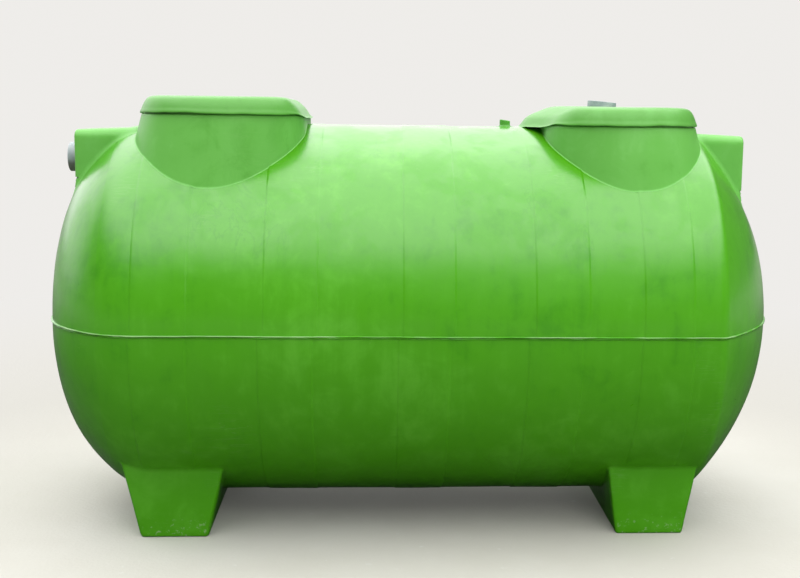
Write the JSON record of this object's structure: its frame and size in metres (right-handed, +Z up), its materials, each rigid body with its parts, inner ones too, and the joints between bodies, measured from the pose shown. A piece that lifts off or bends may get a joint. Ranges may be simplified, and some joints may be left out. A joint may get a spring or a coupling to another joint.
{
  "type": "composite septic tank",
  "caption": "Green fibreglass septic tank: a lying banded barrel with domed ends, covered manhole risers, pipe hoods and cross feet.",
  "frame": {"origin": "on the floor under the middle of the tank", "axes": "+X along the tank towards its outlet end, -Y towards the side that faces the viewer, +Z up"},
  "size_m": [2.674, 1.416, 1.5868],
  "materials": {
    "green_gelcoat": "semi-gloss gelcoat over glass fibre laminate, with wavy and mottled patches",
    "grey_pipe": "satin grey drain pipe"
  },
  "bodies": {
    "root": {"crown_boss": "green_gelcoat", "inlet_pipe": "grey_pipe", "left_cover": "green_gelcoat", "left_end_lower": "green_gelcoat", "left_end_upper": "green_gelcoat", "left_foot": "green_gelcoat", "left_hood": "green_gelcoat", "left_riser": "green_gelcoat", "lower_band_1": "green_gelcoat", "lower_band_2": "green_gelcoat", "lower_band_3": "green_gelcoat", "lower_band_4": "green_gelcoat", "lower_band_5": "green_gelcoat", "lower_barrel": "green_gelcoat", "lower_flange": "green_gelcoat", "outlet_pipe": "grey_pipe", "right_cover": "green_gelcoat", "right_end_lower": "green_gelcoat", "right_end_upper": "green_gelcoat", "right_foot": "green_gelcoat", "right_hood": "green_gelcoat", "right_riser": "green_gelcoat", "upper_band_1_back": "green_gelcoat", "upper_band_1_front": "green_gelcoat", "upper_band_2": "green_gelcoat", "upper_band_3": "green_gelcoat", "upper_band_4": "green_gelcoat", "upper_band_5_back": "green_gelcoat", "upper_band_5_front": "green_gelcoat", "upper_barrel": "green_gelcoat", "upper_flange": "green_gelcoat", "vent_pipe": "grey_pipe"}
  },
  "joints": []
}
